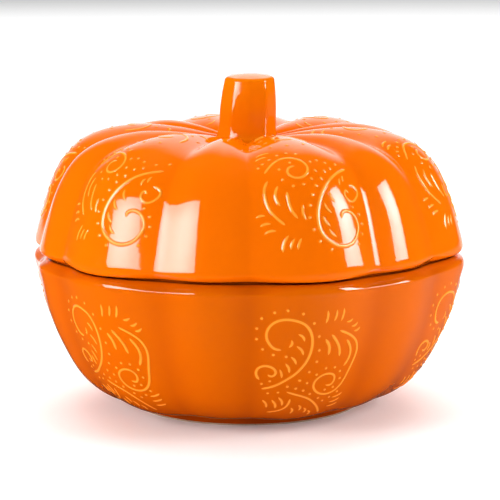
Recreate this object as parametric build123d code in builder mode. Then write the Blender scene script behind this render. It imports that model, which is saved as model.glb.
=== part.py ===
"""Pumpkin-shaped ceramic tureen: a lobed bowl on a foot ring, and a domed lid with a stem for a knob.

Millimetres, +Z up. The origin is the centre of the foot ring on the table, and the front faces -Y.
"""

import os
from math import cos, radians, sin

from build123d import *

# ---- driving dimensions ----
overall_radius = 122.5  # widest point of the big lobes
seam_height = 87.0  # where the lid sits on the bowl
lid_rise = 69.5  # from the seam to the tops of the lobes
wall = 6.0  # slip-cast wall, glaze included

# ---- lobes ----
pair_count = 6  # pairs of one wide and one narrow lobe
wide_angle = 36.0
narrow_angle = 24.0
narrow_rise = 0.43  # how far a narrow lobe bulges, as a share of a wide one; more on top of the lid
front_valley_angle = -90.0  # one valley faces the front

# ---- foot ring ----
foot_radius = 64.0
foot_width = 6.0
foot_height = 4.0
foot_edge = 1.2  # rounding where it meets the table

# ---- lid seat ----
edge_inset = 2.2  # bevel round the bowl's rim and the lid's edge
edge_height = 2.6
rim_thickness = 6.5  # of the bowl's rim and of the lid's ledge, which both turn inward
mouth_radius = 107.0  # clear opening of the bowl
ring_clearance = 1.6
ring_width = 5.0
ring_drop = 9.0
ring_edge = 1.0

# ---- dimple around the stem ----
dimple_radius = 50.0
dimple_depth = 5.5
stem_seat_radius = 20.0

# ---- stem ----
stem_height = 33.0
stem_lean = 1.2  # how far the top stands to the right of the base
stem_sides = 7
stem_top_edge = 2.5

# ---- worked out ----
lid_top = seam_height + lid_rise
stem_seat_height = lid_top - dimple_depth
ring_radius = mouth_radius - ring_clearance
bowl_floor_height = foot_height + wall

# ---- stations, from bottom to top: height above the table, crest radius, valley depth,
# ---- and on the lid how far the narrow lobes bulge ----
bowl_outside = [
    (foot_height, 70.0, 0.8),
    (7.5, 81.0, 1.5),
    (12.5, 89.6, 2.0),
    (20.0, 97.2, 2.4),
    (30.0, 103.8, 2.6),
    (44.0, 111.0, 3.2),
    (58.0, 116.4, 4.2),
    (72.0, 120.0, 5.2),
    (seam_height - edge_height, overall_radius, 5.7),
]
bowl_inside = [
    (bowl_floor_height, 65.0, 0.8),
    (13.0, 75.5, 1.4),
    (18.0, 84.8, 1.8),
    (30.0, 96.8, 2.2),
    (44.0, 104.6, 2.8),
    (58.0, 110.2, 3.6),
    (70.0, 113.6, 4.6),
    (seam_height - rim_thickness, 114.4, 5.2),
]
lid_outside = [
    (seam_height + edge_height, overall_radius - 0.8, 5.8, narrow_rise),
    (98.0, 119.8, 6.1, 0.45),
    (108.0, 117.4, 6.3, 0.48),
    (118.0, 114.3, 6.2, 0.50),
    (128.0, 110.2, 6.0, 0.52),
    (138.0, 103.6, 5.7, 0.60),
    (146.0, 95.0, 5.4, 0.70),
    (151.6, 84.5, 5.1, 0.80),
    (155.2, 71.5, 4.9, 0.85),
    (lid_top, 58.0, 4.6, 0.85),
]
lid_inside = [
    (seam_height + rim_thickness, 114.2, 5.4, narrow_rise),
    (104.0, 112.2, 5.5, 0.46),
    (116.0, 108.8, 5.5, 0.50),
    (128.0, 103.4, 5.4, 0.55),
    (138.0, 96.2, 5.2, 0.65),
    (144.6, 86.0, 5.0, 0.75),
    (148.8, 73.0, 4.8, 0.85),
    (lid_top - wall, 58.0, 4.6, 0.85),
]
stem_outside = [
    (0.0, 17.4, 0.0),
    (6.0, 16.6, 0.1),
    (19.0, 15.4, 0.6),
    (stem_height, 14.4, 1.0),
]


def on_circle(radius, angle):
    """Point at an angle on a circle about the origin, in the plane of a sketch."""
    return (radius * cos(radians(angle)), radius * sin(radians(angle)))


def lobed_section(height, crest_radius, depth, rise=narrow_rise):
    """Level cut through the pumpkin: wide and narrow lobes by turns, one arc each."""
    valley_radius = crest_radius - depth
    with BuildSketch(Plane.XY.offset(height)) as section:
        with BuildLine():
            for pair in range(pair_count):
                start = front_valley_angle + pair * (wide_angle + narrow_angle)
                for width, bulge in ((wide_angle, depth), (narrow_angle, rise * depth)):
                    ThreePointArc(
                        on_circle(valley_radius, start),
                        on_circle(valley_radius + bulge, start + width / 2),
                        on_circle(valley_radius, start + width),
                    )
                    start += width
        make_face()
    return section.sketch


def stem_section(height, radius, lean):
    """Level cut through the stem: a polygon with soft corners, moved over as the stem leans."""
    with BuildSketch(Plane((lean * stem_lean, 0, stem_seat_height + height))) as section:
        RegularPolygon(radius, stem_sides, rotation=90.0)
        fillet(section.vertices(), radius / 4)
    return section.sketch


def dimple(lowered):
    """Half section of what is missing round the stem: a flat seat and a curve up to the lobes."""
    rim = (dimple_radius, lid_top - lowered)
    seat = (stem_seat_radius, stem_seat_height - lowered)
    with BuildSketch(Plane.XZ) as hollow:
        with BuildLine():
            Spline(seat, rim, tangents=[(1.0, 0.25), (1.0, 0.1)])
            Polyline(rim, (dimple_radius, lid_top + wall), (0, lid_top + wall), (0, seat[1]), seat)
        make_face()
    return hollow.sketch


# ---- bowl: lobed shell on a flat base, its rim turned in to a round mouth ----
with BuildPart() as bowl_body:
    loft([lobed_section(*station) for station in bowl_outside])
    height, crest_radius, depth = bowl_outside[-1]
    loft(
        [
            lobed_section(height, crest_radius, depth),
            lobed_section(seam_height, crest_radius - edge_inset, depth),
        ],
        ruled=True,
    )
    loft([lobed_section(*station) for station in bowl_inside], mode=Mode.SUBTRACT)
    with BuildSketch(Plane.XY.offset(seam_height)):
        Circle(mouth_radius)
    extrude(amount=-rim_thickness, mode=Mode.SUBTRACT)
bowl_body.part.label = "bowl_body"

# ---- foot ring: bare clay, rounded where it meets the table ----
with BuildPart() as bowl_foot_ring:
    with BuildSketch():
        Circle(foot_radius)
        Circle(foot_radius - foot_width, mode=Mode.SUBTRACT)
    extrude(amount=foot_height)
    fillet(bowl_foot_ring.edges().group_by(Axis.Z)[0], foot_edge)
bowl_foot_ring.part.label = "bowl_foot_ring"

# ---- hollow of the lid, one wall inside its lobes and its dimple ----
with BuildPart() as lid_hollow:
    loft([lobed_section(*station) for station in lid_inside])
    revolve(dimple(wall), axis=Axis.Z, mode=Mode.SUBTRACT)
    with BuildSketch(Plane.XY.offset(seam_height)):
        Circle(ring_radius - ring_width)
    extrude(amount=rim_thickness)

# ---- lid: lobed dome with a ledge that rests on the bowl's rim ----
with BuildPart() as lid_dome:
    loft([lobed_section(*station) for station in lid_outside])
    height, crest_radius, depth, rise = lid_outside[0]
    loft(
        [
            lobed_section(seam_height, crest_radius - edge_inset, depth, rise),
            lobed_section(height, crest_radius, depth, rise),
        ],
        ruled=True,
    )
    revolve(dimple(0), axis=Axis.Z, mode=Mode.SUBTRACT)
    add(lid_hollow.part, mode=Mode.SUBTRACT)
lid_dome.part.label = "lid_dome"

# ---- locating ring under the lid, which drops into the bowl's mouth ----
with BuildPart() as lid_locating_ring:
    with BuildSketch(Plane.XY.offset(seam_height)):
        Circle(ring_radius)
        Circle(ring_radius - ring_width, mode=Mode.SUBTRACT)
    extrude(amount=-ring_drop)
    fillet(lid_locating_ring.edges().group_by(Axis.Z)[0], ring_edge)
lid_locating_ring.part.label = "lid_locating_ring"

# ---- stem: a short cut stalk, formed on its own and luted to the lid ----
with BuildPart() as stem_knob:
    loft([stem_section(*station) for station in stem_outside])
    fillet(stem_knob.edges().group_by(Axis.Z)[-1], stem_top_edge)
stem_knob.part.label = "stem_knob"

# ---- files ----
os.makedirs("parts", exist_ok=True)
for piece in (bowl_body, bowl_foot_ring, lid_dome, lid_locating_ring, stem_knob):
    export_step(piece.part, f"parts/{piece.part.label}.step")
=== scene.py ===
"""Looks of the pumpkin tureen: lobed shells in thick orange glaze, trailed scrollwork, stem and foot ring."""

from math import ceil, cos, pi, radians, sin

import bpy
import numpy as np
from mathutils import Matrix, Vector


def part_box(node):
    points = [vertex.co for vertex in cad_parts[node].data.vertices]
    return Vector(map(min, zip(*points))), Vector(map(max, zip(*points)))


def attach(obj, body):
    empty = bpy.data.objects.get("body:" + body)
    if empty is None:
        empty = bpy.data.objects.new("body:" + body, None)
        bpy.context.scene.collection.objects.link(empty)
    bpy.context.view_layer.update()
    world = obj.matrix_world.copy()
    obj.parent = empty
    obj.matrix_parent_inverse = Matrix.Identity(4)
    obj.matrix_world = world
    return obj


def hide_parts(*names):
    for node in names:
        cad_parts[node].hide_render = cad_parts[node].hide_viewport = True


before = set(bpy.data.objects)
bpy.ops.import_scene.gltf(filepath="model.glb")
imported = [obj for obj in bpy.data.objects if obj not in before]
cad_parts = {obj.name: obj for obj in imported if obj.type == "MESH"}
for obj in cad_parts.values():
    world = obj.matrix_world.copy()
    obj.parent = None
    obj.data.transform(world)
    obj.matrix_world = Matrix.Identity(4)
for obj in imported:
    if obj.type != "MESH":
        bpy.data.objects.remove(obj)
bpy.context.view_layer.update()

# ---------------------------------------------------------------- sizes from the frame, in metres
MM = 0.001
seam_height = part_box("lid_dome")[0].z
stem_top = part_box("stem_knob")[1].z
foot_low, foot_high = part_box("bowl_foot_ring")
ring_low, ring_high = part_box("lid_locating_ring")


def above_seam(z):
    """Millimetres above the seam, from metres above the table."""
    return (z - seam_height) / MM


# ---------------------------------------------------------------- lobes
PAIR_ANGLE = 60.0  # one wide lobe and one narrow lobe, in degrees
WIDE_ANGLE = 36.0
# Bearings where the wide lobes start, from the front to the right.
WIDE_LOBES = range(0, 360, int(PAIR_ANGLE))

# Crest lines, from the rim inward: radius and height above the seam, in millimetres.
LID_CREST = [
    (116.4, 0.55), (118.9, 0.8), (121.0, 2.1), (121.6, 4.2), (121.45, 6.4), (120.8, 9.0), (120.0, 12.0),
    (117.3, 21.5), (113.6, 33.0), (109.2, 43.0), (102.0, 54.0), (92.4, 62.0), (80.0, 66.9), (67.0, 69.0),
    (55.0, 69.4), (43.0, 68.5), (31.0, 66.8), (19.5, 64.6), (12.0, 63.6),
]
BOWL_CREST = [
    (116.4, -0.25), (119.2, -0.55), (121.5, -2.1), (122.4, -4.6), (122.2, -7.0), (120.9, -11.6),
    (119.6, -17.0), (116.4, -29.0), (111.0, -43.0), (103.8, -57.0), (97.2, -67.0), (89.4, -74.5),
    (81.0, -79.6), (70.0, -82.6), (66.0, -83.0),
]
# How deep the valleys lie below the crests: distance from the rim along the crest line, and depth.
LID_VALLEYS = [
    (0, 5.8), (30, 6.2), (60, 6.0), (85, 5.2), (105, 4.9), (125, 4.3), (146, 3.0), (170, 1.6), (192, 0.4),
]
BOWL_VALLEYS = [(0, 5.7), (18, 5.2), (33, 4.2), (63, 3.0), (83, 2.4), (103, 1.5), (125, 0.4)]
# How far a narrow lobe bulges as a share of a wide one: distance from the rim, and share.
LID_NARROW = [(0, 0.43), (50, 0.5), (75, 0.62), (105, 0.85), (192, 0.9)]
BOWL_NARROW = [(0, 0.43), (125, 0.43)]
MIDDLE_NARROW = 0.5  # the same share where one value does for the whole height
LOBE_FULLNESS = 2.4  # 2 bulges evenly; higher is flatter in the middle and turns faster into the valleys
LID_ROUNDING = 0.4  # how softly the lobes run into the valleys, of 1
BOWL_ROUNDING = 0.6
INSIDE_ROUNDING = 0.5
CREASE_SOFTNESS = 0.3
RIM_LEVEL = 9.0  # over this length from the rim the valleys are cut level, so that the seat stays flat
LID_CENTRE_DROP = 0.6  # the lid dips this much under the stem

# Insides, from the rim inward: radius, height above the seam, depth of the lobes seen from inside.
LID_INSIDE = [
    (113.0, 0.0, 3.0), (106.0, 0.0, 0.0), (100.6, 0.0, 0.0), (100.3, 2.5, 0.0), (101.4, 6.0, 0.4),
    (106.5, 9.0, 2.0), (111.0, 13.0, 4.0), (111.4, 19.0, 4.6), (108.2, 29.0, 4.8), (103.0, 40.0, 5.0),
    (95.4, 50.0, 5.0), (85.6, 57.0, 4.8), (72.0, 61.2, 4.4), (56.0, 62.6, 3.8), (42.0, 61.6, 2.8),
    (30.0, 60.0, 1.6), (20.0, 58.0, 0.6), (10.0, 57.2, 0.0), (3.0, 57.0, 0.0),
]
BOWL_INSIDE = [
    (113.0, 0.0, 3.0), (109.0, 0.0, 1.0), (107.4, -0.7, 0.3), (106.9, -3.0, 0.0), (107.6, -6.5, 0.6),
    (110.4, -11.0, 2.6), (112.0, -17.0, 3.6), (109.8, -29.0, 3.0), (104.4, -43.0, 2.4), (97.0, -57.0, 2.0),
    (89.6, -66.5, 1.8), (80.0, -73.0, 1.4), (66.0, -76.6, 0.8), (44.0, -77.6, 0.2), (20.0, -77.8, 0.0),
    (3.0, -77.8, 0.0),
]

# Glaze: how thick it lies, of 1, how strongly painted shade darkens the bowl toward its foot, and the
# distances from the rim between which these change, in millimetres.
VALLEY_POOLING = 0.85
INSIDE_POOLING = 0.3
# painted shade: the bowl is coloured darker toward its foot, where it stands in shade
BOWL_LOW_SHADE = 0.95
LOW_SHADE_START, LOW_SHADE_END = 30, 115
LIP_SHADE_START, LIP_SHADE_END = 0.2, 1.5  # the lips' brown, darkened to near black as painted shade in the seam, fades out here

# How finely the meshes are cut, in faces and millimetres.
COLUMNS_PER_PAIR = 90
OUTSIDE_STEP = 1.7
INSIDE_STEP = 3.4
WALL_STEP = 0.5
SMOOTHING_STEPS = 20
RING_COLUMNS = 240
CENTRE_RADIUS = 2.0  # of the first ring of faces in the middle of a shell
CENTRE_SHARE = 0.7  # the second, as a share of where the wall ends
FINE_STEPS_PER_MM = 20
NEAR_DISTANCE, NEAR_BEARING = 0.2, 0.1  # how far to look to each side for the slope of a face


# ---------------------------------------------------------------- curves
def smooth_line(points, step):
    """Evenly spaced points, about one step apart, on the natural cubic spline through a few given ones."""
    given = np.array(points, float)
    run = np.append(0.0, np.cumsum(np.linalg.norm(np.diff(given[:, :2], axis=0), axis=1)))
    gaps = np.diff(run)
    last = len(given) - 1
    matrix = np.eye(last + 1)
    slopes = np.diff(given, axis=0) / gaps[:, None]
    right = np.zeros_like(given)
    for i in range(1, last):
        matrix[i, i - 1:i + 2] = (gaps[i - 1], 2 * (gaps[i - 1] + gaps[i]), gaps[i])
        right[i] = 6 * (slopes[i] - slopes[i - 1])
    bend = np.linalg.solve(matrix, right)

    fine = np.linspace(0, run[-1], int(run[-1] * FINE_STEPS_PER_MM) + 2)
    k = np.clip(np.searchsorted(run, fine, side="right") - 1, 0, last - 1)
    before, after, gap = (fine - run[k])[:, None], (run[k + 1] - fine)[:, None], gaps[k][:, None]
    line = (bend[k] * after ** 3 + bend[k + 1] * before ** 3) / (6 * gap)
    from_start = (given[k] / gap - bend[k] * gap / 6) * after
    from_end = (given[k + 1] / gap - bend[k + 1] * gap / 6) * before
    line += from_start + from_end
    length = np.append(0.0, np.cumsum(np.linalg.norm(np.diff(line[:, :2], axis=0), axis=1)))
    even = np.linspace(0, length[-1], max(2, ceil(length[-1] / step) + 1))
    return even, np.stack([np.interp(even, length, column) for column in line.T], axis=1)


def smoothstep(low, high, x):
    t = np.clip((x - low) / (high - low), 0, 1)
    return t * t * (3 - 2 * t)


def valley_share(bearing, narrow, rounding):
    """0 on the crest of a wide lobe and 1 at the bottom of a valley, rounded so that glaze can lie in it."""
    turn = np.mod(bearing, PAIR_ANGLE)
    wide = turn < WIDE_ANGLE
    half_wide, half_narrow = WIDE_ANGLE / 2, (PAIR_ANGLE - WIDE_ANGLE) / 2
    across = np.where(wide, turn / half_wide - 1, (turn - WIDE_ANGLE) / half_narrow - 1)
    arched = 1 - np.abs(across) ** LOBE_FULLNESS
    waved = (1 + np.cos(pi * across)) / 2
    bulge = np.where(wide, 1.0, narrow) * (arched + (waved - arched) * rounding)
    soft = CREASE_SOFTNESS * rounding
    return 1 - np.sqrt(bulge ** 2 + soft ** 2) + soft * (1 - bulge)


class LobedWall:
    """The outside of the bowl or the lid. A place on it is a distance from the rim and a bearing."""

    def __init__(self, crest, valleys, narrow, outward, rounding):
        self.run, self.line = smooth_line(crest, WALL_STEP)
        along = np.gradient(self.line, axis=0)
        along /= np.linalg.norm(along, axis=1)[:, None]
        normal = np.stack([along[:, 1], -along[:, 0]], axis=1) * outward
        sideways = np.stack([np.ones(len(normal)), np.zeros(len(normal))], axis=1)
        share = smoothstep(0, RIM_LEVEL, self.run)[:, None]
        inward = sideways * (1 - share) + normal * share
        self.normal = inward / np.linalg.norm(inward, axis=1)[:, None]
        self.depth = self.smoothed(valleys)
        self.narrow = self.smoothed(narrow)
        self.outward = outward
        self.rounding = rounding

    def smoothed(self, stations):
        """Values along the wall from a few stations, with no kinks between them."""
        window = np.hanning(2 * SMOOTHING_STEPS + 1)
        smoother = window / window.sum()
        padded = np.pad(np.interp(self.run, *np.array(stations, float).T), SMOOTHING_STEPS, mode="edge")
        return np.convolve(padded, smoother, mode="valid")

    def radius(self, distance):
        """Radius of the crest line at some distance from the rim."""
        return np.interp(distance, self.run, self.line[:, 0])

    def point(self, distance, bearing):
        """Place on the lobed face: the crest line, sunk into the wall where a valley runs."""
        curves = (*self.line.T, *self.normal.T, self.depth, self.narrow)
        at = [np.interp(distance, self.run, values) for values in curves]
        sunk = at[4] * valley_share(bearing, at[5], self.rounding)
        radius, height = at[0] - at[2] * sunk, at[1] - at[3] * sunk
        turn = np.radians(bearing)
        return np.stack([radius * np.sin(turn), -radius * np.cos(turn), height], axis=-1)

    def square(self, distance, bearing):
        """Unit normal of the finished, lobed face."""
        up = self.point(distance + NEAR_DISTANCE, bearing) - self.point(distance - NEAR_DISTANCE, bearing)
        round_ = self.point(distance, bearing + NEAR_BEARING) - self.point(distance, bearing - NEAR_BEARING)
        normal = np.cross(round_, up) * self.outward
        return normal / np.linalg.norm(normal, axis=-1, keepdims=True)


lid_wall = LobedWall(LID_CREST, LID_VALLEYS, LID_NARROW, outward=1, rounding=LID_ROUNDING)
bowl_wall = LobedWall(BOWL_CREST, BOWL_VALLEYS, BOWL_NARROW, outward=-1, rounding=BOWL_ROUNDING)


# ---------------------------------------------------------------- meshes
def make_piece(name, points, faces, values=None):
    """A smooth-shaded piece from points in millimetres about the seam's centre, with values per point."""
    mesh = bpy.data.meshes.new(name)
    placed = np.asarray(points, float) * MM + np.array([0.0, 0.0, seam_height])
    mesh.from_pydata(placed.tolist(), [], faces)
    mesh.polygons.foreach_set("use_smooth", np.ones(len(mesh.polygons), bool))
    for label, numbers in (values or {}).items():
        layer = mesh.attributes.new(label, "FLOAT", "POINT")
        layer.data.foreach_set("value", np.asarray(numbers, np.float32))
    mesh.validate()
    mesh.update()
    piece = bpy.data.objects.new(name, mesh)
    bpy.context.scene.collection.objects.link(piece)
    return piece


def closed_rings(rings, flip=False):
    """Points and faces of a closed skin over rings of points, with a centre point at each end."""
    count, around = len(rings), len(rings[0])
    centres = [np.mean(rings[0], axis=0), np.mean(rings[-1], axis=0)]
    points = np.concatenate([np.concatenate(rings), centres])
    first, last = count * around, count * around + 1
    faces = []
    for i in range(count - 1):
        for j in range(around):
            k = (j + 1) % around
            faces.append((i * around + j, i * around + k, (i + 1) * around + k, (i + 1) * around + j))
    for j in range(around):
        k = (j + 1) % around
        faces.append((first, k, j))
        faces.append((last, (count - 1) * around + j, (count - 1) * around + k))
    if flip:
        faces = [face[::-1] for face in faces]
    return points, faces


def level_ring(reach, turn, height):
    """Points at one height, turned about the axis from the front to the right."""
    return np.stack([reach * np.sin(turn), -reach * np.cos(turn), np.full(len(turn), height)], axis=1)


def lobed_shell(name, wall, inside, centre_height, low_shade=0.0):
    """Closed shell: the outside from its middle to the rim, then the inside back to the middle.

    The glaze lies thick in the valleys, and a painted shade, as strong as the last argument asks, darkens it
    away from the rim toward the foot.
    """
    columns = int(COLUMNS_PER_PAIR * 360 / PAIR_ANGLE)
    bearings = np.arange(columns) * 360 / columns
    turn = np.radians(bearings)
    steps = np.linspace(wall.run[-1], 0, ceil(wall.run[-1] / OUTSIDE_STEP) + 1)
    outer = [wall.point(np.full(columns, step), bearings) for step in steps]
    centre_radii = (CENTRE_RADIUS, wall.line[-1, 0] * CENTRE_SHARE)
    centre = [level_ring(radius, turn, centre_height) for radius in centre_radii]
    inner = []
    for radius, height, depth in smooth_line(inside, INSIDE_STEP)[1]:
        reach = radius - max(depth, 0.0) * valley_share(bearings, MIDDLE_NARROW, INSIDE_ROUNDING)
        inner.append(level_ring(reach, turn, height))
    points, faces = closed_rings(centre + outer + inner, flip=wall.outward > 0)

    none_at_centre = np.zeros(len(centre) * columns)
    valleys = VALLEY_POOLING * valley_share(bearings, MIDDLE_NARROW, wall.rounding)
    # painted shade, darker away from the rim toward the foot
    low = low_shade * smoothstep(LOW_SHADE_START, LOW_SHADE_END, steps)
    thick_and_shade = np.maximum(valleys[None], low[:, None]).ravel()
    thick_inside = np.full(len(inner) * columns, INSIDE_POOLING)
    pooled_and_shade = np.concatenate([none_at_centre, thick_and_shade, thick_inside, [0, 0]])
    # painted shade: the lips turn near-black brown for the shadow in the seam between lid and bowl; the bare
    # lips are partly brown clay
    lip_and_seam_shade = np.repeat(1 - smoothstep(LIP_SHADE_START, LIP_SHADE_END, steps), columns)
    lip_and_seam_shade = np.concatenate([none_at_centre, lip_and_seam_shade, np.zeros(len(inner) * columns + 2)])
    return make_piece(name, points, faces, {"pooled_and_shade": pooled_and_shade, "lip_and_seam_shade": lip_and_seam_shade})


def turned_ring(name, line):
    """Closed ring turned about the axis from a closed half section of radius and height."""
    columns = RING_COLUMNS
    turn = np.radians(np.arange(columns) * 360 / columns)
    count = len(line)
    points = np.concatenate([level_ring(radius, turn, height) for radius, height in line])
    faces = []
    for i in range(count):
        for j in range(columns):
            k, n = (j + 1) % columns, (i + 1) % count
            faces.append((i * columns + j, i * columns + k, n * columns + k, n * columns + j))
    return make_piece(name, points, faces)


def rounded_section(inner, outer, low, high, low_edge, high_edge, turns=5):
    """Closed half section of a ring, its lower and upper edges rounded."""
    line = []
    corners = (
        (outer, low, low_edge, -90.0, -1, 1),
        (outer, high, high_edge, 0.0, -1, -1),
        (inner, high, high_edge, 90.0, 1, -1),
        (inner, low, low_edge, 180.0, 1, 1),
    )
    for radius, height, edge, start, side, rise in corners:
        for i in range(turns + 1):
            angle = radians(start + 90.0 * i / turns)
            line.append((radius + side * edge + edge * cos(angle), height + rise * edge + edge * sin(angle)))
    return line


# ---------------------------------------------------------------- stem
# Bearing of each flat side, and its distance from the stem's centre at the top, in millimetres.
STEM_FACETS = (
    (-103.0, 13.3), (-58.0, 13.4), (-16.0, 13.5), (18.0, 13.5), (60.0, 13.3), (105.0, 13.3), (150.0, 13.5),
    (205.0, 13.3),
)
STEM_SHARPNESS = 22  # higher is sharper between the flat sides
# Height above the seam, and width as a share of the top's.
STEM_LINE = [
    (61.5, 1.62), (62.8, 1.38), (64.2, 1.22), (66.5, 1.175), (74.0, 1.145), (81.0, 1.125), (85.0, 1.10),
    (90.0, 1.06), (94.9, 1.005),
]
STEM_LEAN = 2.0  # millimetres to the right, base to top
STEM_TOP_TILT = 0.05  # the cut top slopes down to the front, as a share of its depth
STEM_SETTLE = 8.0  # the slope of the cut top comes in over this height
STEM_EDGE = 2.4
STEM_EDGE_TURNS = 8
STEM_CROWN = 1.1  # how far the cut top domes up
STEM_CROWN_RINGS = (0.85, 0.65, 0.45, 0.25, 0.04)  # as shares of the flat top
STEM_BASE_RINGS = (0.02, 0.6)  # rings that close the base
STEM_COLUMNS = 168
STEM_STEP = 0.8
STEM_WEIGHT = 20  # shares of width are scaled up by this while the line is divided evenly


def stem_outline(bearings):
    """Distance from the stem's centre to its flat sides, rounded where two of them meet."""
    total = np.zeros(len(bearings))
    for facing, reach in STEM_FACETS:
        total += np.clip(np.cos(np.radians(bearings - facing)) / reach, 0, None) ** STEM_SHARPNESS
    return total ** (-1 / STEM_SHARPNESS)


def build_stem():
    bearings = np.arange(STEM_COLUMNS) * 360 / STEM_COLUMNS
    turn = np.radians(bearings)
    outline = stem_outline(bearings)
    side = smooth_line([(height, share * STEM_WEIGHT) for height, share in STEM_LINE], STEM_STEP)[1]
    base, base_share = STEM_LINE[0]
    shoulder, shoulder_share = STEM_LINE[-1]
    top = above_seam(stem_top)
    stations = [(STEM_BASE_RINGS[0], base), (STEM_BASE_RINGS[1] * base_share, base)]
    stations += [(share / STEM_WEIGHT, height) for height, share in side]
    edge_share = STEM_EDGE / STEM_FACETS[0][1]
    for i in range(1, STEM_EDGE_TURNS + 1):
        angle = pi / 2 * i / STEM_EDGE_TURNS
        stations.append((shoulder_share - edge_share * (1 - cos(angle)), shoulder + STEM_EDGE * sin(angle)))
    flat = shoulder_share - edge_share
    for share in STEM_CROWN_RINGS:
        stations.append((flat * share, shoulder + STEM_EDGE + STEM_CROWN * (1 - share ** 2)))
    rings = []
    for share, height in stations:
        lean = STEM_LEAN * (height - base) / (top - base)
        x, y = share * outline * np.sin(turn) + lean, -share * outline * np.cos(turn)
        settled = smoothstep(top - STEM_SETTLE, top, height)
        z = np.full(STEM_COLUMNS, height) + settled * STEM_TOP_TILT * y
        rings.append(np.stack([x, y, z], axis=1))
    points, faces = closed_rings(rings)
    return make_piece("stem", points, faces, {"pooled_and_shade": np.zeros(len(points))})


# ---------------------------------------------------------------- trailed scrollwork
TRAIL_HALF_WIDTH = 1.2
TRAIL_HEIGHT = 0.37
TRAIL_STEP = 0.9
TRAIL_TAPER = 1.6  # a trail thins out over this length at its ends
TRAIL_THINNEST = 0.04
TRAIL_END_RIDGE = 0.3
TRAIL_ACROSS = np.array([-1.0, -0.78, -0.56, -0.36, -0.17, 0.0, 0.17, 0.36, 0.56, 0.78, 1.0])
DOT_RADIUS = 1.4
DOT_HEIGHT = 0.43
DOT_RINGS = (0.12, 0.35, 0.58, 0.8, 1.0)  # as shares of the radius
DOT_ROOT_RING = 0.4
DOT_COLUMNS = 16
SUNK = 0.03  # how far the thin edge of a trail lies under the surface, so that it melts into it
ROOT = 0.6  # how far a trail's underside lies in the wall


class Relief:
    """Raised work on one wide lobe, collected as points and faces and then repeated on every wide lobe.

    A place on the lobe is (across, up): across runs from -1 at one valley to 1 at the next,
    and up is the distance from the rim along the wall, in millimetres.
    """

    def __init__(self, wall, lift=0.0):
        self.wall, self.lift = wall, lift
        self.points, self.faces, self.ridges = [], [], []

    def flat(self, places):
        """Places on the lobe laid out flat, in millimetres."""
        places = np.array(places, float)
        up = places[:, 1] + self.lift
        return np.stack([np.radians(places[:, 0] * WIDE_ANGLE / 2) * self.wall.radius(up), up], axis=1)

    def raise_(self, flat, height):
        """Points that stand some height over flat places on the lobe."""
        bearing = WIDE_ANGLE / 2 + np.degrees(flat[..., 0] / self.wall.radius(flat[..., 1]))
        ground = self.wall.point(flat[..., 1], bearing)
        return ground + self.wall.square(flat[..., 1], bearing) * np.asarray(height)[..., None]

    def add(self, points, faces, ridges):
        start = sum(len(part) for part in self.points)
        self.points.append(points)
        self.faces += [tuple(start + i for i in face) for face in faces]
        self.ridges.append(ridges)

    def trail(self, places, width=1.0):
        """A squeezed line of slip through some places, thinning at both ends."""
        length, line = smooth_line(self.flat(places), TRAIL_STEP)
        along = np.gradient(line, axis=0)
        along /= np.linalg.norm(along, axis=1)[:, None]
        side = np.stack([-along[:, 1], along[:, 0]], axis=1)
        end = np.minimum(length, length[-1] - length)
        full = np.sqrt(np.clip(end / TRAIL_TAPER, TRAIL_THINNEST, 1.0)) * width
        half = TRAIL_HALF_WIDTH * full
        bell = (1 + np.cos(pi * TRAIL_ACROSS)) / 2
        flat = line[:, None] + side[:, None] * (TRAIL_ACROSS[None] * half[:, None])[..., None]
        top = self.raise_(flat, TRAIL_HEIGHT * bell[None] * full[:, None] - SUNK)
        root = self.raise_(line[:, None], np.full((len(line), 1), -ROOT))
        rings = np.concatenate([top, root], axis=1)
        points, faces = closed_rings(list(rings), flip=self.wall.outward > 0)
        ridge = np.concatenate([np.tile(np.append(bell, 0), len(line)), [TRAIL_END_RIDGE, TRAIL_END_RIDGE]])
        self.add(points, faces, ridge)

    def dots(self, places, size=1.0):
        """Drops of slip, each a low dome that spreads at its foot."""
        for centre in self.flat(places):
            turn = np.linspace(0, 2 * pi, DOT_COLUMNS, endpoint=False)
            round_ = np.stack([np.cos(turn), np.sin(turn)], axis=1)
            rings, ridges = [], []
            for share in DOT_RINGS:
                reach = DOT_RADIUS * size * share
                height = DOT_HEIGHT * size * (1 + cos(pi * share)) / 2
                rings.append(self.raise_(centre + reach * round_, np.full(DOT_COLUMNS, height - SUNK)))
                ridges += [(1 + cos(pi * share)) / 2] * DOT_COLUMNS
            flat = centre + DOT_ROOT_RING * DOT_RADIUS * round_
            rings.append(self.raise_(flat, np.full(DOT_COLUMNS, -ROOT)))
            ridges += [0] * DOT_COLUMNS
            points, faces = closed_rings(rings, flip=self.wall.outward > 0)
            self.add(points, faces, np.array(ridges + [1, 0]))

    def piece(self, name):
        """Repeats the work on every wide lobe, as one mesh."""
        one, ridge = np.concatenate(self.points), np.concatenate(self.ridges)
        points, faces = [], []
        for lobe, start in enumerate(WIDE_LOBES):
            turn = radians(start)
            rotate = np.array([[cos(turn), -sin(turn), 0], [sin(turn), cos(turn), 0], [0, 0, 1]])
            points.append(one @ rotate.T)
            faces += [tuple(lobe * len(one) + i for i in face) for face in self.faces]
        made = make_piece(name, np.concatenate(points), faces, {"ridge": np.tile(ridge, len(WIDE_LOBES))})
        made.data.set_sharp_from_angle(angle=radians(60))
        return made


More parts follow.
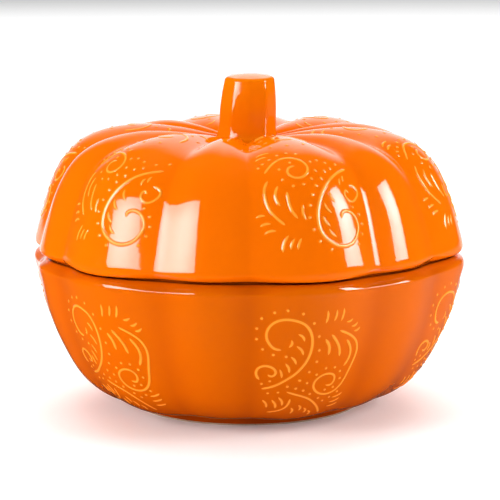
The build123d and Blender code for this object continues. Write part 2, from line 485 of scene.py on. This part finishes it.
def lid_scrollwork():
    work = Relief(lid_wall, lift=3.0)
    # curl over the shoulder, and a small one near the stem
    work.trail([
        (-0.72, 63.5), (-0.58, 69), (-0.42, 72), (-0.22, 71.5), (-0.06, 68.5), (0.01, 64), (-0.03, 60),
        (-0.14, 57.5), (-0.26, 58), (-0.34, 61), (-0.31, 64.3), (-0.2, 65.3),
    ])
    work.trail([
        (0.55, 96), (0.5, 105), (0.2, 110), (-0.15, 108), (-0.3, 102), (-0.12, 97), (0.12, 98), (0.16, 102),
    ])
    # long feathers and the ring with its curled tail
    work.trail([(-0.68, 58), (-0.74, 53), (-0.73, 47), (-0.68, 41), (-0.58, 36), (-0.47, 32)], width=1.1)
    work.trail([(-0.53, 54), (-0.575, 50), (-0.565, 46), (-0.52, 42.5)], width=1.1)
    work.trail([(-0.40, 50), (-0.385, 44), (-0.35, 39), (-0.28, 35)], width=1.1)
    work.trail([(-0.18, 42), (-0.2, 38.5), (-0.165, 34)])
    work.trail([
        (0.8, 64.5), (0.53, 60), (0.31, 54.5), (0.165, 49), (0.07, 43), (0.02, 37), (0.015, 31), (0.06, 26),
        (0.16, 22.2), (0.3, 19.6), (0.44, 19.4), (0.57, 21.3), (0.66, 25), (0.71, 29.5), (0.69, 33.6),
        (0.61, 37), (0.51, 38), (0.43, 36.6), (0.41, 34),
    ], width=1.15)
    work.trail([
        (0.66, 48), (0.61, 49.6), (0.57, 47.5), (0.6, 44.5), (0.69, 43.2), (0.8, 45.3), (0.865, 48.7),
        (0.83, 52.2), (0.72, 53),
    ])
    # short strokes inside the ring, beside it and along the feathers' tips
    for dash in (
        ((0.28, 48.5), (0.29, 45.5), (0.35, 42.6)), ((0.16, 42.5), (0.18, 39.5), (0.25, 37)),
        ((0.1, 35.5), (0.13, 32.2), (0.2, 30)), ((0.17, 28.6), (0.21, 26), (0.28, 24.4)),
        ((0.56, 57), (0.53, 55), (0.52, 52.6)), ((0.65, 59), (0.62, 57), (0.61, 54.8)),
        ((-0.89, 37), (-0.82, 37.9), (-0.75, 37.8)), ((-0.83, 32), (-0.75, 33.2), (-0.67, 33.2)),
        ((-0.77, 27.8), (-0.69, 29.2), (-0.6, 29.2)), ((-0.43, 26.5), (-0.5, 22), (-0.52, 17.8)),
        ((-0.35, 24.6), (-0.39, 22), (-0.41, 19)), ((-0.25, 24.6), (-0.29, 22), (-0.31, 18.8)),
        ((-0.86, 76), (-0.76, 77.5), (-0.64, 77.5)), ((-0.84, 80), (-0.72, 81.5), (-0.58, 81.2)),
        ((-0.72, 118), (-0.5, 120), (-0.3, 119)), ((-0.7, 124), (-0.45, 126), (-0.25, 125)),
        ((0.3, 120), (0.5, 122), (0.75, 121)),
    ):
        work.trail(dash)
    work.dots([
        (-0.82, 68.6), (-0.74, 71.2), (-0.61, 73.6), (-0.45, 76), (-0.27, 76.5), (-0.1, 74.5), (-0.27, 68),
        (-0.47, 64.4), (-0.44, 57.4), (-0.29, 53), (-0.13, 53.4), (0.02, 56.4), (0.13, 61.4), (0.1, 67.4),
        (0.24, 68.6), (0.39, 67.2), (0.3, 61.2), (0.19, 56.6), (0.07, 52.3), (-0.02, 47.3), (-0.08, 41.5),
        (-0.11, 35), (-0.07, 28.7), (0.01, 22.4), (0.17, 17.8), (0.44, 63.2), (0.62, 67.2), (0.84, 70.6),
    ])
    work.dots([(0.67, 40), (0.78, 35.7), (0.81, 30.3), (0.77, 25), (0.67, 19.8)], size=0.95)
    work.dots([
        (-0.5, 88), (-0.15, 86), (0.25, 88), (-0.55, 98), (-0.6, 108), (-0.1, 116), (0.35, 114),
        (0.78, 108),
    ])
    return work.piece("lid_scrollwork")


def bowl_scrollwork():
    work = Relief(bowl_wall, lift=2.5)
    # great scroll, small curls and the long tail that ends in a curl
    work.trail([
        (-0.8, 64.5), (-0.6, 62), (-0.42, 57.5), (-0.28, 53), (-0.165, 47), (-0.1, 40), (-0.09, 33),
        (-0.13, 27), (-0.21, 23), (-0.34, 20.8), (-0.5, 20.3), (-0.63, 22), (-0.72, 25.5), (-0.75, 30),
        (-0.71, 34.5), (-0.63, 37.5), (-0.53, 38.2),
    ], width=1.1)
    work.trail([
        (-0.84, 58.2), (-0.89, 54.5), (-0.87, 51), (-0.78, 49), (-0.68, 49.2), (-0.6, 51.2), (-0.59, 53.6),
        (-0.64, 55.4), (-0.71, 54.6),
    ], width=1.1)
    work.trail([
        (0.33, 28), (0.51, 31.5), (0.66, 36.4), (0.72, 42.7), (0.7, 49), (0.66, 55.3), (0.62, 61),
        (0.55, 65.8), (0.43, 68.8), (0.27, 69), (0.13, 66.5), (0.05, 61.8), (0.07, 58), (0.16, 55.3),
        (0.28, 54.6), (0.38, 56.4), (0.41, 60), (0.36, 62.8), (0.27, 62.4),
    ])
    work.trail([(-0.38, 65.8), (-0.21, 67.8), (0.0, 70.9), (0.17, 76), (0.31, 82.5), (0.4, 88)])
    work.trail([(-0.3, 71.2), (-0.33, 77), (-0.43, 81.4), (-0.67, 85)])
    # feathers
    work.trail([(0.11, 32), (0.18, 36.4), (0.195, 42)], width=1.2)
    work.trail([(0.2, 29.8), (0.31, 35), (0.37, 39.5), (0.395, 44)], width=1.15)
    work.trail([(0.48, 34.5), (0.58, 40.6), (0.59, 46.2), (0.53, 51.4)], width=1.15)
    for dash in (
        ((-0.3, 28.4), (-0.24, 29.6), (-0.205, 32.6)), ((-0.31, 35.6), (-0.24, 37.6), (-0.2, 41)),
        ((-0.38, 42.2), (-0.33, 43.8), (-0.29, 47)), ((-0.45, 46.6), (-0.4, 49), (-0.38, 52.6)),
        ((-0.53, 50.6), (-0.5, 53), (-0.49, 56.2)), ((-0.39, 32), (-0.38, 34.2), (-0.42, 36.4)),
        ((0.1, 15.6), (0.105, 19), (0.085, 22.6)), ((0.245, 15.8), (0.24, 18.6), (0.215, 21.9)),
        ((0.36, 15.6), (0.355, 18.8), (0.325, 22.4)), ((0.43, 23.6), (0.48, 23.6), (0.54, 22.6)),
        ((0.53, 26.8), (0.59, 26.6), (0.64, 25.2)), ((0.59, 30), (0.65, 29.8), (0.7, 28.4)),
        ((-0.77, 73.2), (-0.71, 75.8), (-0.69, 80)), ((-0.61, 72.6), (-0.55, 75.4), (-0.53, 80)),
        ((-0.5, 70.2), (-0.44, 72.8), (-0.42, 77)), ((0.5, 73.6), (0.6, 73.2), (0.7, 71.4)),
        ((0.49, 77.8), (0.59, 77.6), (0.7, 76)), ((0.5, 82), (0.6, 82), (0.72, 80.6)),
        ((-0.12, 76.4), (-0.07, 78.6), (-0.08, 82)), ((0.0, 79.4), (0.05, 81.4), (0.04, 85)),
        ((-0.24, 79), (-0.2, 81.4), (-0.22, 85.4)), ((0.12, 83), (0.17, 85.2), (0.16, 88.6)),
    ):
        work.trail(dash)
    work.dots([
        (-0.64, 16.6), (-0.46, 15.2), (-0.25, 16.8), (-0.82, 20.2), (-0.89, 26), (-0.89, 32.2),
        (-0.8, 38.3), (-0.64, 41.4), (-0.45, 42.2), (-0.09, 22.2), (0.0, 30), (0.03, 38.4), (0.02, 45.5),
        (-0.07, 52), (-0.2, 57.6), (-0.07, 59.6), (0.06, 54.2), (0.2, 50.6), (0.36, 51), (0.48, 54.4),
        (0.52, 59.6), (0.43, 65), (0.28, 65.8), (-0.38, 62), (-0.24, 63.2), (-0.11, 64.8), (0.02, 67.6),
        (0.2, 71.6), (0.31, 74.6), (0.43, 72.6), (0.56, 69.4),
    ])
    work.dots([(-0.8, 61), (-0.67, 58.8), (-0.69, 67.4), (-0.52, 66.4)], size=0.9)
    return work.piece("bowl_scrollwork")


# ---------------------------------------------------------------- shader groups
def new_group(name, inputs, outputs):
    """Empty shader group with float inputs (name, default) and outputs (name, socket type)."""
    group = bpy.data.node_groups.new(name, "ShaderNodeTree")
    for label, default in inputs:
        socket = group.interface.new_socket(label, in_out="INPUT", socket_type="NodeSocketFloat")
        socket.default_value = default
    for label, kind in outputs:
        group.interface.new_socket(label, in_out="OUTPUT", socket_type=kind)
    return group, group.nodes.new("NodeGroupInput"), group.nodes.new("NodeGroupOutput")


def math_node(tree, operation, first, second):
    node = tree.nodes.new("ShaderNodeMath")
    node.operation = operation
    for socket, value in zip(node.inputs, (first, second)):
        if isinstance(value, (int, float)):
            socket.default_value = value
        else:
            tree.links.new(value, socket)
    return node.outputs[0]


def noise_node(tree, scale, detail, place):
    node = tree.nodes.new("ShaderNodeTexNoise")
    node.inputs["Detail"].default_value = detail
    if isinstance(scale, (int, float)):
        node.inputs["Scale"].default_value = scale
    else:
        tree.links.new(scale, node.inputs["Scale"])
    tree.links.new(place, node.inputs["Vector"])
    return node.outputs["Fac"]


def range_node(tree, value, low, high, to_low=0.0, to_high=1.0):
    node = tree.nodes.new("ShaderNodeMapRange")
    node.interpolation_type = "SMOOTHSTEP"
    tree.links.new(value, node.inputs["Value"])
    for label, number in (("From Min", low), ("From Max", high), ("To Min", to_low), ("To Max", to_high)):
        node.inputs[label].default_value = number
    return node.outputs["Result"]


GLAZE_ROUGHNESS = (0.03, 0.075)
POOLING_POWER = 5.0  # higher keeps the deep colour to the thickest glaze


def glaze_flow_group():
    """Where the glaze lies thick, and where painted shade darkens the bowl toward its foot, with slow cloudy
    drifts, its faint surface ripple and its roughness.
    """
    group, source, result = new_group(
        "glaze_flow",
        [("Pooled", 0.0), ("Cloud", 0.3), ("Cloud Scale", 9.0), ("Ripple Scale", 140.0)],
        [("ThickShade", "NodeSocketFloat"), ("Ripple", "NodeSocketFloat"), ("Roughness", "NodeSocketFloat")],
    )
    place = group.nodes.new("ShaderNodeTexCoord").outputs["Object"]
    cloud = noise_node(group, source.outputs["Cloud Scale"], 3.0, place)
    drift = math_node(group, "MULTIPLY", math_node(group, "SUBTRACT", cloud, 0.5), source.outputs["Cloud"])
    deep_and_shade = math_node(group, "POWER", source.outputs["Pooled"], POOLING_POWER)
    group.links.new(math_node(group, "ADD", deep_and_shade, drift), result.inputs["ThickShade"])
    group.links.new(noise_node(group, source.outputs["Ripple Scale"], 2.0, place), result.inputs["Ripple"])
    hand_marks = noise_node(group, 60.0, 4.0, place)
    roughness = range_node(group, hand_marks, 0.3, 0.7, *GLAZE_ROUGHNESS)
    group.links.new(roughness, result.inputs["Roughness"])
    return group


def speck_group():
    """Sparse iron specks and pinholes, as a mask."""
    group, source, result = new_group(
        "kiln_specks", [("Scale", 420.0), ("Amount", 0.04)], [("Specks", "NodeSocketFloat")],
    )
    place = group.nodes.new("ShaderNodeTexCoord").outputs["Object"]
    cells = group.nodes.new("ShaderNodeTexVoronoi")
    group.links.new(source.outputs["Scale"], cells.inputs["Scale"])
    group.links.new(place, cells.inputs["Vector"])
    near = math_node(group, "LESS_THAN", cells.outputs["Distance"], source.outputs["Amount"])
    group.links.new(near, result.inputs["Specks"])
    return group


glaze_flow = glaze_flow_group()
kiln_specks = speck_group()


# ---------------------------------------------------------------- materials
LID_ORANGE = (0.86, 0.148, 0.0)
LID_DEEP = (0.80, 0.130, 0.0)
STEM_ORANGE = (0.84, 0.178, 0.0)
STEM_DEEP = (0.78, 0.155, 0.0)
BOWL_ORANGE = (0.69, 0.120, 0.0)
# thick glaze in the valleys, and the painted shade toward the foot
BOWL_DEEP_AND_SHADE = (0.49, 0.068, 0.0)
FOOT_DEEP = (0.30, 0.035, 0.002)
THIN_GLAZE = (1.0, 0.33, 0.03)
# brown of the bare lips, darkened to near black as painted shade in the seam
LIP_BROWN_AND_SEAM_SHADE = (0.07, 0.012, 0.002)
CLAY_PALE = (0.62, 0.47, 0.33)
CLAY_RUBBED = (0.45, 0.31, 0.2)
CLAY_SPECK = (0.2, 0.12, 0.07)


def place_group(tree, group, **values):
    node = tree.nodes.new("ShaderNodeGroup")
    node.node_tree = group
    for label, value in values.items():
        socket = node.inputs[label.replace("_", " ")]
        if isinstance(value, (int, float)):
            socket.default_value = value
        else:
            tree.links.new(value, socket)
    return node


def mix_colour(tree, share, first, second):
    node = tree.nodes.new("ShaderNodeMix")
    node.data_type = "RGBA"
    node.clamp_factor = True
    tree.links.new(share, node.inputs[0])
    for socket, value in ((node.inputs[6], first), (node.inputs[7], second)):
        if isinstance(value, tuple):
            socket.default_value = (*value, 1.0)
        else:
            tree.links.new(value, socket)
    return node.outputs[2]


def read_value(tree, label):
    node = tree.nodes.new("ShaderNodeAttribute")
    node.attribute_name = label
    return node.outputs["Fac"]


def new_material(name):
    material = bpy.data.materials.new(name)
    material.use_nodes = True
    tree = material.node_tree
    return material, tree, tree.nodes["Principled BSDF"]


def bump(tree, shader, height, strength, distance):
    node = tree.nodes.new("ShaderNodeBump")
    node.inputs["Strength"].default_value = strength
    node.inputs["Distance"].default_value = distance
    tree.links.new(height, node.inputs["Height"])
    tree.links.new(node.outputs["Normal"], shader.inputs["Normal"])


def glaze(name, body, deep_and_shade, thin=None, cloud=0.3):
    """Thick glossy glaze: darker where it lies deep and, on the bowl, where shade toward the foot is painted;
    paler on raised trails; brown on the lips, darkened to near black as painted shade in the seam.
    """
    material, tree, shader = new_material(name)
    pooled_and_shade = read_value(tree, "pooled_and_shade")
    flow = place_group(tree, glaze_flow, Pooled=pooled_and_shade, Cloud=cloud)
    # the deep colour stands for thick glaze and, on the bowl, for painted shade toward the foot
    colour = mix_colour(tree, flow.outputs["ThickShade"], body, deep_and_shade)
    if thin:
        ridge = range_node(tree, read_value(tree, "ridge"), 0.1, 0.85)
        colour = mix_colour(tree, ridge, colour, thin)
    specks = place_group(tree, kiln_specks)
    colour = mix_colour(tree, specks.outputs["Specks"], colour, deep_and_shade)
    # painted shade in the seam: near-black brown on the lips
    colour = mix_colour(tree, read_value(tree, "lip_and_seam_shade"), colour, LIP_BROWN_AND_SEAM_SHADE)
    tree.links.new(colour, shader.inputs["Base Color"])
    tree.links.new(flow.outputs["Roughness"], shader.inputs["Roughness"])
    shader.inputs["IOR"].default_value = 1.5
    bump(tree, shader, flow.outputs["Ripple"], strength=0.25, distance=0.0002)
    return material


def bare_clay(name):
    """Fired clay with no glaze: pale buff, sandy, a little darker where hands and shelves have rubbed it."""
    material, tree, shader = new_material(name)
    place = tree.nodes.new("ShaderNodeTexCoord").outputs["Object"]
    cloud = range_node(tree, noise_node(tree, 45.0, 5.0, place), 0.35, 0.7)
    colour = mix_colour(tree, cloud, CLAY_PALE, CLAY_RUBBED)
    specks = place_group(tree, kiln_specks, Scale=900.0, Amount=0.2)
    colour = mix_colour(tree, specks.outputs["Specks"], colour, CLAY_SPECK)
    tree.links.new(colour, shader.inputs["Base Color"])
    grain = noise_node(tree, 1800.0, 3.0, place)
    tree.links.new(range_node(tree, grain, 0.2, 0.8, 0.75, 0.95), shader.inputs["Roughness"])
    bump(tree, shader, grain, strength=0.5, distance=0.0003)
    return material


lid_glaze = glaze("lid_glaze", LID_ORANGE, LID_DEEP)
lid_line_glaze = glaze("lid_line_glaze", LID_ORANGE, LID_DEEP, thin=THIN_GLAZE)
bowl_glaze = glaze("bowl_glaze", BOWL_ORANGE, BOWL_DEEP_AND_SHADE)
bowl_line_glaze = glaze("bowl_line_glaze", BOWL_ORANGE, BOWL_DEEP_AND_SHADE, thin=THIN_GLAZE)
stem_glaze = glaze("stem_glaze", STEM_ORANGE, STEM_DEEP)
# the foot ring takes the bowl's darkest colour, the painted shade carried on down the foot
foot_glaze = glaze("foot_glaze", BOWL_DEEP_AND_SHADE, FOOT_DEEP)
foot_clay = bare_clay("foot_clay")


# ---------------------------------------------------------------- the object
def put(piece, material, body, node=None):
    piece.data.materials.append(material)
    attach(piece, body)
    if node:
        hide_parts(node)
    return piece


bowl_shell = lobed_shell("bowl_shell", bowl_wall, BOWL_INSIDE, BOWL_CREST[-1][1], low_shade=BOWL_LOW_SHADE)
put(bowl_shell, bowl_glaze, "bowl", "bowl_body")
lid_shell = lobed_shell("lid_shell", lid_wall, LID_INSIDE, LID_CREST[-1][1] - LID_CENTRE_DROP)
put(lid_shell, lid_glaze, "lid", "lid_dome")
put(bowl_scrollwork(), bowl_line_glaze, "bowl")
put(lid_scrollwork(), lid_line_glaze, "lid")
put(build_stem(), stem_glaze, "lid", "stem_knob")


FOOT_WIDTH = 6.0
BARE_HEIGHT = 1.0  # the glaze is wiped off the foot up to here
BARE_INSET = 0.3  # the bare clay stands back from the glaze by this much
BARE_OVERLAP = 0.2  # and reaches this far up inside it
foot_radius = foot_high.x / MM
foot_floor = above_seam(foot_low.z)
foot_section = rounded_section(
    foot_radius - FOOT_WIDTH, foot_radius, foot_floor + BARE_HEIGHT, above_seam(foot_high.z),
    low_edge=0.5, high_edge=0.3,
)
put(turned_ring("foot_ring", foot_section), foot_glaze, "bowl", "bowl_foot_ring")
bare_section = rounded_section(
    foot_radius - FOOT_WIDTH + BARE_INSET, foot_radius - BARE_INSET,
    foot_floor, foot_floor + BARE_HEIGHT + BARE_OVERLAP, low_edge=0.9, high_edge=0.1,
)
put(turned_ring("foot_bare_edge", bare_section), foot_clay, "bowl")

RING_WIDTH = 5.0
ring_radius = ring_high.x / MM
ring_section = rounded_section(
    ring_radius - RING_WIDTH, ring_radius, above_seam(ring_low.z), above_seam(ring_high.z),
    low_edge=1.8, high_edge=0.2,
)
put(turned_ring("locating_ring", ring_section), lid_glaze, "lid", "lid_locating_ring")


# ---------------------------------------------------------------- floor, light and camera
FLOOR_SIZE = 6.0
FLOOR_COLOUR = (0.95, 0.95, 0.95)
FLOOR_GLOW = 0.12
# What the glaze mirrors of the floor: dark in front and to the left, dim to the right, pale behind.
MIRRORED_FRONT = (0.04, 0.035, 0.03)
MIRRORED_RIGHT = (0.2, 0.18, 0.17)
MIRRORED_BEHIND = (0.95, 0.93, 0.91)
BEHIND_SPREAD = 0.5  # lower takes in more of the floor to both sides
BEHIND_NEAR = 0.15  # keeps the floor under the object out of it, in metres

ROOM_LIGHT = 0.25
ROOM_MIRRORED = 0.02
SWEEP_MIRRORED = 1.3
SWEEP_CENTRE = 0.1  # the mirrored sweep stands this much to the right of straight behind
SWEEP_SPREAD = 0.7  # lower makes it wider


def pale_floor():
    """White floor that glows faintly, so that the shadow on it stays light. The glaze mirrors it darker."""
    size = FLOOR_SIZE
    mesh = bpy.data.meshes.new("floor")
    corners = [(-size, -size, 0), (size, -size, 0), (size, size, 0), (-size, size, 0)]
    mesh.from_pydata(corners, [], [(0, 1, 2, 3)])
    floor = bpy.data.objects.new("floor", mesh)
    bpy.context.scene.collection.objects.link(floor)
    material, tree, shader = new_material("pale_floor")
    mirrored = tree.nodes.new("ShaderNodeLightPath").outputs["Is Glossy Ray"]
    place = tree.nodes.new("ShaderNodeTexCoord").outputs["Object"]
    split = tree.nodes.new("ShaderNodeSeparateXYZ")
    tree.links.new(place, split.inputs[0])
    aside = math_node(tree, "MULTIPLY", math_node(tree, "ABSOLUTE", split.outputs["X"], 0.0), BEHIND_SPREAD)
    away = tree.nodes.new("ShaderNodeVectorMath")
    away.operation = "LENGTH"
    tree.links.new(place, away.inputs[0])
    reach = math_node(tree, "ADD", away.outputs["Value"], BEHIND_NEAR)
    behind = math_node(tree, "DIVIDE", math_node(tree, "SUBTRACT", split.outputs["Y"], aside), reach)
    to_right = range_node(tree, split.outputs["X"], -0.05, 0.25)
    shade = mix_colour(tree, to_right, MIRRORED_FRONT, MIRRORED_RIGHT)
    shade = mix_colour(tree, range_node(tree, behind, 0.15, 0.6), shade, MIRRORED_BEHIND)
    tree.links.new(mix_colour(tree, mirrored, FLOOR_COLOUR, shade), shader.inputs["Base Color"])
    shader.inputs["Roughness"].default_value = 0.9
    shader.inputs["Specular IOR Level"].default_value = 0.0
    shader.inputs["Emission Color"].default_value = (1.0, 1.0, 1.0, 1.0)
    glow = math_node(tree, "MULTIPLY", math_node(tree, "SUBTRACT", 1.0, mirrored), FLOOR_GLOW)
    tree.links.new(glow, shader.inputs["Emission Strength"])
    mesh.materials.append(material)


def direction(bearing, elevation):
    """Unit vector away from the object. Bearing 0 is the front and 90 the right, in degrees."""
    b, e = radians(bearing), radians(elevation)
    return Vector((sin(b) * cos(e), -cos(b) * cos(e), sin(e)))


def softbox(name, bearing, elevation, distance, width, height, watts, roll=0.0, mirrored=True, lights=True):
    """A lit rectangle that faces the object. It may show in the glaze, light the colour, or both."""
    light = bpy.data.lights.new(name, "AREA")
    light.shape = "RECTANGLE"
    light.size, light.size_y = width, height
    light.energy = watts
    if mirrored:
        soften_edges(light)
    lamp = bpy.data.objects.new(name, light)
    away = direction(bearing, elevation)
    lamp.location = Vector((0, 0, seam_height)) + away * distance
    facing = away.to_track_quat("Z", "Y").to_matrix()
    lamp.rotation_euler = (facing @ Matrix.Rotation(radians(roll), 3, "Z")).to_euler()
    lamp.visible_camera = False
    lamp.visible_glossy = mirrored
    lamp.visible_diffuse = lights
    bpy.context.scene.collection.objects.link(lamp)


def soften_edges(light):
    """A softbox is brightest at its middle."""
    light.use_nodes = True
    tree = light.node_tree
    emission = tree.nodes["Emission"]
    middle = tree.nodes.new("ShaderNodeVectorMath")
    middle.operation = "DISTANCE"
    place = tree.nodes.new("ShaderNodeNewGeometry").outputs["Parametric"]
    tree.links.new(place, middle.inputs[0])
    middle.inputs[1].default_value = (0.5, 0.5, 0.0)
    falling = range_node(tree, middle.outputs["Value"], 0.1, 0.65, to_low=1.0, to_high=0.55)
    tree.links.new(falling, emission.inputs["Strength"])


VIEW_BEARING = -0.6  # degrees, a little left of the front valley
VIEW_ELEVATION = 9.47
VIEW_DISTANCE = 1.278
VIEW_ROLL = -0.26
AIM = Vector((0.00175, 0.0, seam_height - 0.001))
LENS_LENGTH = 163.3  # millimetres, on a sensor 36 mm wide


def camera():
    lens = bpy.data.cameras.new("camera")
    lens.lens = LENS_LENGTH
    lens.sensor_width = 36.0
    lens.clip_end = 50.0
    eye = bpy.data.objects.new("camera", lens)
    away = direction(VIEW_BEARING, VIEW_ELEVATION)
    eye.location = AIM + away * VIEW_DISTANCE
    look = away.to_track_quat("Z", "Y").to_matrix()
    eye.rotation_euler = (look @ Matrix.Rotation(radians(VIEW_ROLL), 3, "Z")).to_euler()
    bpy.context.scene.collection.objects.link(eye)
    bpy.context.scene.camera = eye


def surroundings():
    """An even white room, which the glaze mirrors as a bright sweep behind and a dark room elsewhere."""
    world = bpy.data.worlds.new("white_room")
    bpy.context.scene.world = world
    world.use_nodes = True
    tree = world.node_tree
    backdrop = tree.nodes["Background"]
    backdrop.inputs["Color"].default_value = (1, 1, 1, 1)
    split = tree.nodes.new("ShaderNodeSeparateXYZ")
    tree.links.new(tree.nodes.new("ShaderNodeTexCoord").outputs["Generated"], split.inputs[0])
    off_centre = math_node(tree, "SUBTRACT", split.outputs["X"], SWEEP_CENTRE)
    aside = math_node(tree, "MULTIPLY", math_node(tree, "ABSOLUTE", off_centre, 0.0), SWEEP_SPREAD)
    behind = math_node(tree, "SUBTRACT", split.outputs["Y"], aside)
    sweep = range_node(tree, behind, 0.42, 0.85, ROOM_MIRRORED, SWEEP_MIRRORED)
    mirrored = tree.nodes.new("ShaderNodeLightPath").outputs["Is Glossy Ray"]
    mix = tree.nodes.new("ShaderNodeMix")
    tree.links.new(mirrored, mix.inputs[0])
    mix.inputs[2].default_value = ROOM_LIGHT
    tree.links.new(sweep, mix.inputs[3])
    tree.links.new(mix.outputs[0], backdrop.inputs["Strength"])


bpy.context.scene.view_settings.view_transform = "Standard"
pale_floor()
surroundings()
# Two softboxes show in the glaze and light nothing; the others light the object and don't show in it.
softbox("left_softbox", -50.4, 23, 1.1, width=0.6, height=0.56, watts=15.5, roll=17, lights=False)
softbox("right_softbox", 79.4, 24.4, 1.1, width=0.35, height=0.54, watts=10.7, roll=-5, lights=False)
softbox("left_light", -65, 17, 1.1, width=0.6, height=0.5, watts=9.4, mirrored=False)
softbox("right_light", 78, 20, 1.1, width=0.5, height=0.6, watts=8.0, mirrored=False)
softbox("overhead", 180, 80, 1.5, width=1.4, height=1.4, watts=13, mirrored=False)
softbox("backdrop_light", 180, 46, 3.3, width=4.0, height=4.0, watts=100, mirrored=False)
camera()
